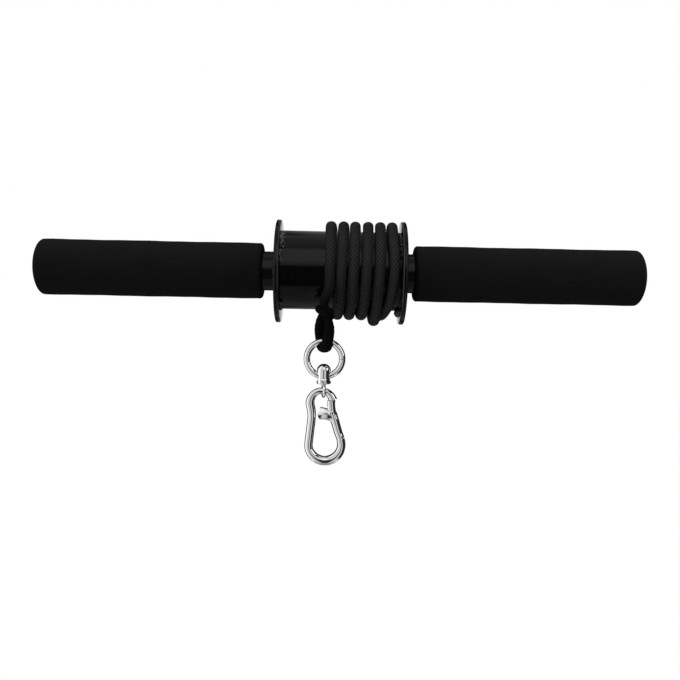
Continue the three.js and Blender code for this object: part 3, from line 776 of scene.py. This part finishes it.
# Paint over spatter: the same gloss on a lumpy ground, with painted glints of grey on the highest lumps,
# standing in for the light's reflections.
weld = new_finish("painted_weld")
lumps = weld.grain(0.0011, detail=3)
crust = weld.grain(0.0004, detail=2)
painted_glints = (lumps * 0.7 + crust * 0.3).between(0.5, 0.6)
weld_finish = weld.surface(
    Base_Color=weld.blend(painted_glints, (0.002, 0.0018, 0.002), (0.24, 0.235, 0.24)),
    Roughness=0.16 + crust * 0.2,
    Specular_IOR_Level=0.5,
    Normal=weld.bump(lumps + crust * 0.4, distance=0.0006, strength=0.9),
)


def beads_for_one_side(drum_beads, seed):
    """The stitches at one flange, each with its middle and length in degrees, and its thickness."""
    bar_beads = [(100, 70, 1.5), (220, 70, 1.5), (340, 70, 1.5)]
    corner, proud = 0.3, 0.6
    at_drum = (half_spool - corner, drum_radius + proud)
    at_bar = (half_spool + flange_thickness + corner, bar_radius + proud)
    rows = ((drum_beads, at_drum, seed), (bar_beads, at_bar, seed + 10))
    return joined(
        bead_shape(*at, *bead, first + i) for beads, at, first in rows for i, bead in enumerate(beads)
    )


right_welds = beads_for_one_side([(48, 44, 1.5), (172, 34, 2.2), (268, 44, 1.7)], seed=10)
left_welds = beads_for_one_side([(40, 30, 3.0), (66, 20, 1.4), (146, 16, 1.4), (262, 44, 1.9)], seed=30)
set_on_frame("right_welds", right_welds, weld_finish, "roller", sharp=60)
set_on_frame("left_welds", mirrored(left_welds), weld_finish, "roller", sharp=60)

# %% [markdown]
# ## Foam
# The grips are sleeves of closed-cell foam. Their skin is dead matt and nearly black, with pores too small
# to count, and slightly uneven where the knife cut it. The pores are a bump, and the waves are in the
# turned outline, where they show in silhouette.

# %% Foam finish and grips
foam = new_finish("matt_foam")
pores = foam.grain(0.00035, detail=3)
pits = foam.grain(0.0009, detail=1).between(0.62, 0.75)
dents = foam.grain(0.016, detail=2)
height = pores * 0.5 - pits * 0.7 + dents * 0.8
foam_finish = foam.surface(
    Base_Color=foam.blend(pores * 0.6 + dents * 0.4, (0.0042, 0.0042, 0.0043), (0.014, 0.014, 0.0145)),
    Roughness=0.86 + pores * 0.12,
    Specular_IOR_Level=0.1,
    Normal=foam.bump(height, distance=0.00012, strength=0.7),
)

grip_radius = 18.0
grip_lengths = {"right": 148, "left": 145.5}
foam_end = 8
bore_gap = 0.3
edge_round = 2.2
crown_depth, flat_radius = 4.2, 5


def grip_shape(length):
    """A closed-end sleeve for the right hand, its end crowned and its body a little uneven."""
    end, inner, outer = half_length, half_length - length, grip_radius
    bore = bar_radius + bore_gap
    steps = np.linspace(inner + 3, end - 6, 40)
    body = [(x, outer + 0.08 * sin(x * 0.11) + 0.05 * sin(x * 0.31 + 1)) for x in steps]
    outline = [
        (end - foam_end, 0),
        (end - foam_end, bore),
        (inner, bore),
        *arc((inner + edge_round, outer - edge_round), edge_round, 180, 90, 8),
        *body,
        *arc((end - crown_depth, flat_radius), (crown_depth, outer - flat_radius), 88, 0, 18),
        (end, 0),
    ]
    return turned(outline, 128)


for side, length in grip_lengths.items():
    shape = grip_shape(length) if side == "right" else mirrored(grip_shape(length))
    grip = set_on_frame(f"{side}_grip", shape, foam_finish, "roller", [f"grip_{side}"], sharp=60)

# %% [markdown]
# ## Chrome
# Ring, swivel and hook are polished and plated. Chrome takes its look from the room, so the finish only
# breaks the mirror a little: faint polishing lines, smears of handling and the soft waves of a cast
# surface.

# %% Chrome and zinc finishes
chrome = new_finish("polished_chrome")
waves = chrome.grain(0.004, detail=1.0)
smears = chrome.grain(0.003, detail=4, stretch=(1, 1, 0.4))
fine = chrome.grain(0.0003, detail=2, stretch=(1, 1, 0.15))
chrome_finish = chrome.surface(
    Base_Color=chrome.blend(smears, (0.80, 0.81, 0.83), (0.93, 0.93, 0.94)),
    Metallic=1.0,
    Roughness=0.03 + smears * 0.06 + fine * 0.02,
    Normal=chrome.bump(waves, distance=0.00003, strength=0.4),
)
zinc = new_finish("bright_zinc")
lines = zinc.grain(0.0004, detail=3, stretch=(1, 1, 0.1))
zinc_finish = zinc.surface(
    Base_Color=zinc.blend(lines, (0.5, 0.5, 0.51), (0.72, 0.72, 0.73)),
    Metallic=1.0,
    Roughness=0.2 + lines * 0.2,
    Normal=zinc.bump(lines, distance=0.00002, strength=0.5),
)
print("bright finishes:", chrome_finish.name, "and", zinc_finish.name)

# %% [markdown]
# ## Ring and swivel
# The ring is one bent wire whose ends only butt together, which leaves a hairline at its side. A stock
# torus has no ends, so the wire is swept. The swivel is a turned bead with a flared hole for the ring, and
# a headed stem that turns in its foot and carries a loop for the hook.

# %% Make the ring and the swivel
ring_radius = 10.95
ring_centre = ring_top - (0, 0, ring_radius)
ring_bottom_z = ring_centre[2] - ring_radius
swivel_x = -9.2


def ring_shape():
    """The wire's ends are eased, so the butt joint shows as a fine dark line."""
    butt_gap, end_ease, end_reach = 0.3, 0.25, 0.12
    half_gap = butt_gap / ring_radius / 2
    angles = np.linspace(half_gap, turn - half_gap, 145)
    line = ring_centre + ring_radius * np.stack([np.cos(angles), 0 * angles, np.sin(angles)], axis=1)
    line = np.vstack([line[:1] - (0, 0, end_reach), line, line[-1:] + (0, 0, end_reach)])
    size = np.full(len(line), ring_wire / 2)
    size[[0, -1]] -= end_ease
    return swept(line, size, size, (0, 1, 0), 40)


stem_top = ring_bottom_z - 2.3
seat_z = stem_top - 1.1
foot_z = seat_z - 1.2
link_arch_z = foot_z - 1.2
hook_top_z = link_arch_z - 1.2
head_top_wire = 4.0
hook_pin_z = hook_top_z - head_top_wire / 2


def swivel_shape():
    """The bead, its flared hole for the ring, its seat for the stem's head, and a window to that seat."""
    dome_radius, dome_rise, foot_ease = 4.4, 3.6, 0.9
    hole_radius, hole_flare, hole_reach = 2.3, 1.6, 7
    head_room, stem_room, window_height = 2.4, 1.6, 2.2
    outline = [
        *arc((ring_bottom_z + dome_rise, 0), dome_radius, 0, 80, 14),
        (ring_bottom_z + 1.2, 4.32),
        (ring_bottom_z, 4.25),
        (ring_bottom_z - 1.6, 4.45),
        *arc((foot_z + foot_ease, 3.7), foot_ease, 90, 180, 6),
        (foot_z, 0),
    ]
    along = np.linspace(-hole_reach, hole_reach, 29)
    wall = [(a, hole_radius + hole_flare * (a / 4.6) ** 2) for a in along]
    hole = shifted(turned([(-hole_reach, 0), *wall, (hole_reach, 0)], 48), (0, 0, ring_bottom_z))
    low, high = foot_z - 2, ring_bottom_z
    steps = [(high, head_room), (seat_z, head_room), (seat_z, stem_room), (low, stem_room)]
    seat = turned([(high, 0), *steps, (low, 0)], 40, "Z")
    window = block(3.4, 12, window_height, (0, 0, seat_z + window_height / 2))
    return carve(carve(carve(turned(outline, 64, "Z"), hole), seat), window)


link_turn = radians(9)
link_wire, link_depth, corner = 1.8, 2.0, 1.9


def link_shape():
    """The loop is just wide enough inside for the hook's head, which it meets at a slant."""
    room = head_top_wire / 2 + 0.3 + 0.2 + link_depth / 2 * sin(link_turn)
    half = room / cos(link_turn) + link_wire / 2
    outline = [
        *arc((0, hook_pin_z), half, 180, 360, 24),
        *arc((half - corner, link_arch_z - corner), corner, 0, 90, 8),
        *arc((corner - half, link_arch_z - corner), corner, 90, 180, 8),
    ]
    line = np.array([(0, across, up) for across, up in outline])
    loop = swept(line, link_wire / 2, link_depth / 2, (1, 0, 0), 28, closed=True)
    stem_radius, head_radius, head_height, head_ease = 1.3, 2.1, 0.8, 0.4
    stem = [
        (link_arch_z, 0),
        (link_arch_z, stem_radius),
        (stem_top - head_height, stem_radius),
        (stem_top - head_height, head_radius),
        *arc((stem_top - head_ease, head_radius - head_ease), head_ease, 90, 0, 5),
        (stem_top, 0),
    ]
    return joined([loop, turned(stem, 40, "Z")])


to_swivel = Matrix.Translation((swivel_x, cord_y, 0))
set_on_frame("split_ring", ring_shape(), chrome_finish, "ring", ["ring"])
set_on_frame(
    "swivel_bead", swivel_shape(), chrome_finish, "swivel", ["swivel_body"], place=to_swivel,
)
set_on_frame(
    "swivel_loop", link_shape(), chrome_finish, "link", ["swivel_link"],
    place=to_swivel @ Matrix.Rotation(link_turn, 4, "Z"),
)

# %% [markdown]
# ## The snap hook
# The hook is a cast bar of round section, thin over the head, where the swivel's loop rides, and thicker
# down the back and round the bow. It is swept along its middle line, cut to clear the gate's round
# shoulder, and cut at a slant at its tip. A flat tongue carries the gate's rivet.

# %% Sizes of the hook
head_outer, bow_outer, bow_drop = 10.1, 13.05, 26.0
head_side_wire, bow_wire, bow_bottom_wire = 5.6, 5.3, 6.2
neck_half, neck_drop = 8.8, 4.4
hook_depth, bow_depth = 5.2, 5.8
bow_mean = bow_outer - bow_wire / 2
pivot_u, pivot_w = 5.2, -5.6
tip_angle, nose_angle = radians(14), radians(24)
lug_radius, shoulder_gap = 7.2, 0.3
tongue_thickness, rivet_hole_radius = 1.9, 1.35
heel_half, heel_depth, heel_ease = 1.8, 2.2, 0.4
bore_tilt = radians(21)
tip = np.array([bow_mean * cos(tip_angle), 0, -bow_drop + bow_mean * sin(tip_angle)])
hook_x, hook_lean = -10.2, radians(-5.3)
hook_centre = (hook_x, cord_y, hook_top_z - head_outer)
hook_place = Matrix.Translation(hook_centre) @ Matrix.Rotation(hook_lean, 4, "Y")


def between(a, b, share):
    return a + (b - a) * share


def at_pivot(bm):
    """A shape that was turned on X, laid across the hook at the gate's pivot."""
    return shifted(rotated(bm, pi / 2, "Z"), (pivot_u, 0, pivot_w))


def rod(radius, length, sides=64):
    """A round cutter at the pivot."""
    half = length / 2
    return at_pivot(turned([(-half, 0), (-half, radius), (half, radius), (half, 0)], sides))


def nose_block(side, gap):
    """A block on one side of the slanted cut between the gate's end and the hook's tip."""
    size = 2 * bow_wire
    return block(size, size, size, (0, 0, side * size / 2 + gap), -nose_angle, tuple(tip))


print("the hook's head is at", round(float(hook_top_z), 1), "mm")

# %% [markdown]
# ## The hook's body
# Its middle line runs from the gate's shoulder over the head, down the back and round the bow to the tip.
# Its thickness and depth follow from the height on that line, so the bar swells and thins without a step.


# %% Make the hook's body
def hook_line():
    """The middle line, across and up from the middle of the head, with its corners smoothed away."""
    across, up = head_outer - head_side_wire / 2, head_outer - head_top_wire / 2
    neck = neck_half - head_side_wire / 2
    shares = np.linspace(0, 0.94, 14)
    shank = [(-between(neck, bow_mean, s), -between(neck_drop, bow_drop, s)) for s in shares]
    points = [*arc((0, 0), (across, up), 12, 186, 44), *shank, *arc((0, -bow_drop), bow_mean, 180, 398, 58)]
    line = np.array([(u, 0, w) for u, w in points])
    for _ in range(6):
        line[1:-1] = 0.25 * line[:-2] + 0.5 * line[1:-1] + 0.25 * line[2:]
    return line


def hook_sizes(line):
    up = line[:, 2]
    top = hump(up, head_outer, head_outer)
    bottom = hump(up, -bow_drop - bow_outer, bow_outer)
    above_neck = 1 / (1 + np.exp(-(up + neck_drop) * 1.1))
    side = bow_wire + (head_side_wire - bow_wire) * above_neck
    width = side + (head_top_wire - side) * top + (bow_bottom_wire - bow_wire) * bottom
    depth = hook_depth + (head_top_wire - hook_depth) * top + (bow_depth - hook_depth) * bottom
    return width / 2, depth / 2


def tongue_shape(root):
    """The plate that the gate's ears straddle. Its heel is square to the bore, with eased corners."""
    down = np.array([sin(bore_tilt), -cos(bore_tilt)])
    across = np.array([cos(bore_tilt), sin(bore_tilt)])
    near, flat = (heel_half, heel_depth - heel_ease), (heel_half - heel_ease, heel_depth)
    corners = ((-near[0], near[1]), (-flat[0], flat[1]), flat, near)
    heel = [np.array([pivot_u, pivot_w]) + depth * down + side * across for side, depth in corners]
    in_head = root[2] + 2
    outline = [*heel, (root[0] + heel_half, in_head), (root[0] - heel_half, in_head)]
    bm = bmesh.new()
    face = bm.faces.new([bm.verts.new((u, -tongue_thickness / 2, w)) for u, w in outline])
    made = bmesh.ops.extrude_face_region(bm, geom=[face])
    moved = [item for item in made["geom"] if isinstance(item, bmesh.types.BMVert)]
    bmesh.ops.translate(bm, vec=(0, tongue_thickness, 0), verts=moved)
    bmesh.ops.recalc_face_normals(bm, faces=bm.faces)
    return bm


def hook_shape():
    line = hook_line()
    widths, depths = hook_sizes(line)
    bent = swept(line, widths, depths, (0, 1, 0), 48)
    bent = carve(bent, rod(lug_radius + shoulder_gap, 8))
    bent = carve(bent, nose_block(1, 0))
    tongue = carve(tongue_shape(line[0]), rod(rivet_hole_radius, 4, 32))
    return carve(bent, tongue, "UNION")


set_on_frame("hook_casting", hook_shape(), chrome_finish, "hook", ["hook_body"], place=hook_place)

# %% [markdown]
# ## The gate
# The gate is a second casting: an arm that closes the bow, and a web that turns in above it and closes the
# head's eye. Its two ears straddle the hook's tongue, and a rivet through all three is what it turns on.
# Arm and web are swept and joined, then cut where the real casting is machined. Inside its bore a small
# pusher, with a spring behind it, bears on the tongue's heel and shuts the gate.

# %% Make the gate and its rivet
gate_root_wire, gate_tip_wire = 5.7, 5.0
root_u = neck_half - gate_root_wire / 2
web_radius, web_drop, web_height = 8.2, 5.8, 8.6
web_square, web_lean = 0.6, radians(17)
nose_gap = 0.3
slot_width = 2.5
bore_radius, bore_depth = 1.15, 7.8
bore_mouth = Matrix.Translation((5, 0, -8)) @ Matrix.Rotation(-bore_tilt, 4, "Y")
rivet_radius, rivet_head_radius, rivet_head_height = 1.2, 1.7, 1.1


def arm_point(share):
    return np.array([between(root_u, bow_mean, share), 0, -between(neck_drop, bow_drop, share)])


def web_shape():
    """The web curves out of the arm, fading to its section. Its free end is nearly square and leans."""
    start, corner = np.array([pivot_u - web_radius - 2, 0, -web_drop]), np.array([pivot_u, 0, -web_drop])
    share = np.linspace(0, 1, 25)
    t = share[:, None]
    curve = (1 - t) ** 2 * start + 2 * t * (1 - t) * corner + t**2 * arm_point(1 / 3)
    heights = between(web_height, 0.9 * gate_root_wire, share) / 2
    depths = between(hook_depth, 0.92 * hook_depth, share) / 2
    plain = np.clip(share * 2.2 - 0.55, 0, 1)
    square, lean = between(web_square, 1, plain), web_lean * (1 - plain)
    web = swept(curve, heights, depths, (0, 1, 0), 48, square=square, lean=lean)
    return carve(web, rod(web_radius, 8), "INTERSECT")


def gate_shape():
    """The arm and its web, trimmed at shoulder and nose, slotted for the tongue and bored."""
    top = np.array([root_u, 0, head_top_wire])
    below = tip - (0, 0, bow_wire)
    line = smooth_line([top, arm_point(0), arm_point(1 / 3), arm_point(2 / 3), tip, below], 8)
    widths = between(gate_root_wire, gate_tip_wire, np.linspace(0, 1, len(line)))
    made = carve(swept(line, widths / 2, hook_depth / 2, (0, 1, 0), 48), web_shape(), "UNION")
    room_below = block(60, 8, 27, (0, 0, pivot_w - 27 / 2))
    made = carve(made, carve(rod(lug_radius, 8), room_below, "UNION"), "INTERSECT")
    made = carve(made, nose_block(-1, nose_gap))
    heel_room = (heel_depth**2 + heel_half**2) ** 0.5 + 0.3
    slot_half = 7.2
    slot_centre = (pivot_u - heel_room + slot_half, 0, pivot_w + slot_half)
    slot = block(2 * slot_half, slot_width, 2 * slot_half, slot_centre)
    made = carve(made, carve(slot, rod(heel_room, slot_width), "UNION"))
    made = carve(made, rod(rivet_hole_radius, 10, 32))
    bore = turned([(2, 0), (2, bore_radius), (-bore_depth, bore_radius), (-bore_depth, 0)], 32, "Z")
    bmesh.ops.transform(bore, matrix=bore_mouth, verts=bore.verts)
    return carve(made, bore)


def rivet_shape():
    half = hook_depth / 2 + 0.15
    dome = (rivet_head_height, rivet_head_radius)
    profile = [
        *arc((-half, 0), dome, 180, 90, 8),
        (-half, rivet_radius),
        (half, rivet_radius),
        *arc((half, 0), dome, 90, 0, 8),
    ]
    return at_pivot(turned(profile, 40))


set_on_frame("gate_casting", gate_shape(), chrome_finish, "gate", ["hook_gate"], place=hook_place)
set_on_frame("gate_pin", rivet_shape(), chrome_finish, "hook", ["gate_rivet"], place=hook_place)

# %% [markdown]
# ## Spring and pusher
# Both are hidden in the gate's bore, but they move, so they are real. The pusher's round nose bears on the
# tongue's heel. The spring behind it is an open coil, and it shortens as the pusher slides.

# %% Make the spring and the pusher
in_bore = hook_place @ bore_mouth
nose_depth, pusher_length, pusher_radius, pusher_ease = 0.45, 3.4, 0.85, 0.2
spring_top, spring_end = nose_depth + pusher_length + 0.3, 7.5


def spring_shape():
    wire, radius, coils = 0.35, 0.775, 6
    share = np.linspace(0, 1, coils * 24 + 1)
    depth = between(spring_top + wire / 2, spring_end - wire / 2, share)
    angle = share * coils * turn
    line = np.stack([radius * np.cos(angle), radius * np.sin(angle), -depth], axis=1)
    return swept(line, wire / 2, wire / 2, (0, 0, 1), 12)


def pusher_shape():
    low = -nose_depth - pusher_length
    nose = arc((-nose_depth - pusher_radius, 0), pusher_radius, 0, 90, 8)
    foot = [(low + pusher_ease, pusher_radius), (low, pusher_radius - pusher_ease), (low, 0)]
    return turned([*nose, *foot], 32, "Z")


spring = set_on_frame(
    "coil_spring", spring_shape(), zinc_finish, "gate", ["gate_spring"], place=in_bore,
)
set_on_frame("push_pin", pusher_shape(), zinc_finish, "pusher", ["gate_pusher"], place=in_bore)
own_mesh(spring)

tuple(winding(np.array([turns_wound + anchor_turn]))[0] * mm)

# %% [markdown]
# ## Floor
# The part is held up, so the floor lies some way below it. It is pale, and so far off that it blends with
# the wall. Seen straight it is mostly plain white with a little of its own shade, and it doesn't show in
# gloss or chrome.

# %% Make the floor
floor_size, floor_drop = 3, 0.6
floor_grey, floor_white, white_share = 0.3, 1.06, 0.93

paint = new_finish("pale_floor")
rays = paint.node("LightPath")
grey = paint.node("BsdfDiffuse", {"Color": (floor_grey, floor_grey, floor_grey, 1)})
white = paint.node("Emission", {"Color": (1, 1, 1, 1), "Strength": floor_white})
clear = paint.node("BsdfTransparent")
lit = paint.mixed(Signal(paint, rays["Is Camera Ray"]) * white_share, grey[0], white[0])
paint.finished(paint.mixed(rays["Is Glossy Ray"], lit, clear[0]))
ground = bmesh.new()
bmesh.ops.create_grid(ground, x_segments=4, y_segments=4, size=floor_size)
floor = add_object("floor", as_mesh("floor", shifted(ground, (0, 0, -floor_drop))))
floor.data.materials.append(paint.owner)
print("floor:", floor_drop, "m below the bar")
